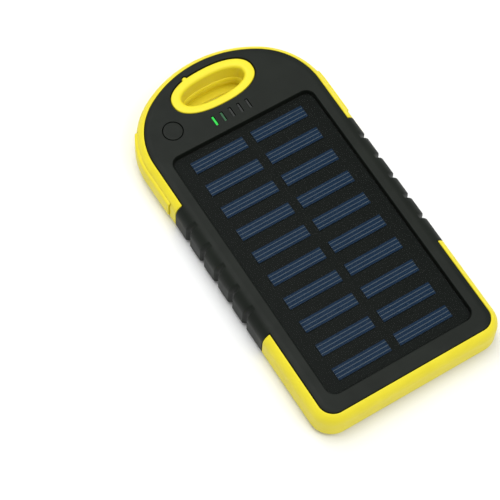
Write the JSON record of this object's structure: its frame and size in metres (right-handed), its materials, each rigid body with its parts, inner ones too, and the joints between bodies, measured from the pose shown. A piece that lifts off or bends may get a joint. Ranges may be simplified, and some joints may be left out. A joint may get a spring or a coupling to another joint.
{
  "type": "solar phone charger",
  "caption": "Pocket solar power bank: black slab case with solar panel, coloured rubber bumpers, loop hole, button, charge lamps and flap-covered sockets.",
  "frame": {"origin": "bottom centre of the whole charger, on the back face", "axes": "+X across the case, +Y towards the loop end, +Z out of the solar face"},
  "size_m": [0.0746, 0.1444, 0.014],
  "materials": {
    "black_plastic": "satin, soft-touch",
    "yellow_rubber": "matte",
    "panel_laminate": "fine speckle",
    "clear_resin": "clear",
    "solar_cell": "satin",
    "green_lamp": "diffuse",
    "white_lamp": "diffuse",
    "board_green": "solder mask",
    "steel": "satin",
    "socket_white": "plain",
    "pouch_foil": "satin foil",
    "dark_grey": "plain",
    "red_wire": "plain",
    "black_wire": "plain"
  },
  "bodies": {
    "case": {"front_shell": "black_plastic", "rear_shell": "black_plastic", "upper_bumper": "yellow_rubber", "lower_bumper": "yellow_rubber", "loop_ring": "yellow_rubber", "panel_board": "panel_laminate", "panel_cover": "clear_resin", "solar_cell_a1": "solar_cell", "solar_cell_a2": "solar_cell", "solar_cell_a3": "solar_cell", "solar_cell_a4": "solar_cell", "solar_cell_a5": "solar_cell", "solar_cell_a6": "solar_cell", "solar_cell_a7": "solar_cell", "solar_cell_a8": "solar_cell", "solar_cell_a9": "solar_cell", "solar_cell_a10": "solar_cell", "solar_cell_b1": "solar_cell", "solar_cell_b2": "solar_cell", "solar_cell_b3": "solar_cell", "solar_cell_b4": "solar_cell", "solar_cell_b5": "solar_cell", "solar_cell_b6": "solar_cell", "solar_cell_b7": "solar_cell", "solar_cell_b8": "solar_cell", "solar_cell_b9": "solar_cell", "solar_cell_b10": "solar_cell", "button_switch": "steel", "charge_lamp_1": "green_lamp", "charge_lamp_2": "green_lamp", "charge_lamp_3": "green_lamp", "charge_lamp_4": "green_lamp", "charge_lamp_5": "green_lamp", "circuit_board": "board_green", "usb_left_shell": "steel", "usb_left_tongue": "socket_white", "usb_right_shell": "steel", "usb_right_tongue": "socket_white", "micro_usb_shell": "steel", "micro_usb_tongue": "socket_white", "boost_inductor": "dark_grey", "charge_controller": "dark_grey", "torch_led": "white_lamp", "torch_lens": "clear_resin", "battery_pouch": "pouch_foil", "battery_pad": "dark_grey", "battery_lead_red": "red_wire", "battery_lead_black": "black_wire", "panel_lead_red": "red_wire", "panel_lead_black": "black_wire", "case_screw_1": "steel", "case_screw_2": "steel", "case_screw_3": "steel", "case_screw_4": "steel", "case_screw_5": "steel", "case_screw_6": "steel"},
    "power_button": {"power_button": "black_plastic", "switch_plunger": "dark_grey"},
    "left_flap": {"port_flap_left": "yellow_rubber"},
    "right_flap": {"port_flap_right": "yellow_rubber"}
  },
  "joints": [
    {"name": "button_press", "type": "slide", "parent": "case", "child": "power_button", "axis": [0, 0, -1], "range_m": [0, 0.0004], "stiffness_N_per_m": 800, "springref_m": -0.0005},
    {"name": "left_flap_hinge", "type": "hinge", "parent": "case", "child": "left_flap", "pos_m": [-0.0371, 0.02675, 0.0068], "axis": [0, 0, 1], "range_deg": [0, 110]},
    {"name": "right_flap_hinge", "type": "hinge", "parent": "case", "child": "right_flap", "pos_m": [0.0371, 0.02675, 0.0068], "axis": [0, 0, -1], "range_deg": [0, 110]}
  ]
}
